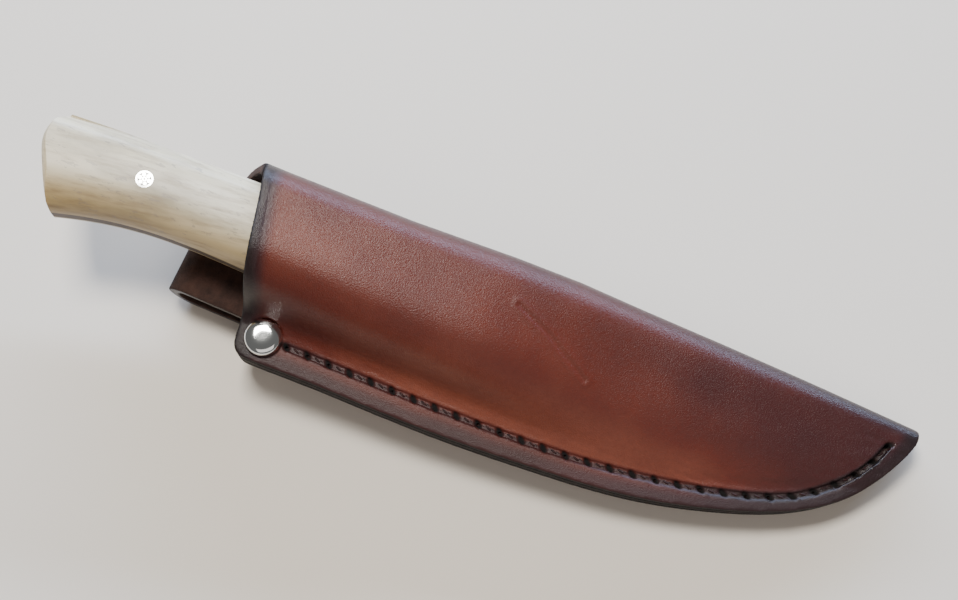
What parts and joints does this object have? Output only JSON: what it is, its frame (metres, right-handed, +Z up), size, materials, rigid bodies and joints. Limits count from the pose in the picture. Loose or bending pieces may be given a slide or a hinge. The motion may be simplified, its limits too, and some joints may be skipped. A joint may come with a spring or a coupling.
{
  "type": "whittling knife with belt sheath",
  "caption": "Short fixed-blade woodcarving knife with a full tang and pale wooden scales, held in a wet-formed leather belt sheath that it draws out of.",
  "frame": {"origin": "on the ground, under the middle of the bounding box of the sheathed knife as it lies on its back on the belt loop", "axes": "+X from the butt of the handle to the tip of the sheath, +Y towards the folded edge of the sheath, +Z up out of its front"},
  "size_m": [0.2151, 0.0484, 0.0355],
  "materials": {
    "sheath_leather": "wax-polished vegetable-tanned leather, antiqued from red-brown to near black at the edges",
    "welt_leather": "burnished leather edge, near black",
    "thread": "waxed dark burgundy thread",
    "rivet_nickel": "polished nickel plate",
    "handle_wood": "pale close-grained wood, oiled satin",
    "blade_steel": "satin ground tool steel",
    "pin_steel": "sanded and polished flush",
    "pin_resin": "dark casting resin, polished flush"
  },
  "bodies": {
    "sheath": {"sheath_body": "sheath_leather", "welt": "welt_leather", "seam_thread": "thread", "belt_loop_thread": "thread", "rivet_cap": "rivet_nickel", "rivet_base": "rivet_nickel"},
    "knife": {"blade": "blade_steel", "scale_front": "handle_wood", "scale_back": "handle_wood", "rear_pin_tube": "pin_steel", "rear_pin_rods": "pin_steel", "rear_pin_core": "pin_steel", "rear_pin_resin": "pin_resin", "front_pin_tube": "pin_steel", "front_pin_rods": "pin_steel", "front_pin_core": "pin_steel", "front_pin_resin": "pin_resin"}
  },
  "joints": [
    {"name": "knife_draw", "type": "slide", "parent": "sheath", "child": "knife", "axis": [-0.9946, 0, 0.1037], "range_m": [0, 0.16]}
  ]
}
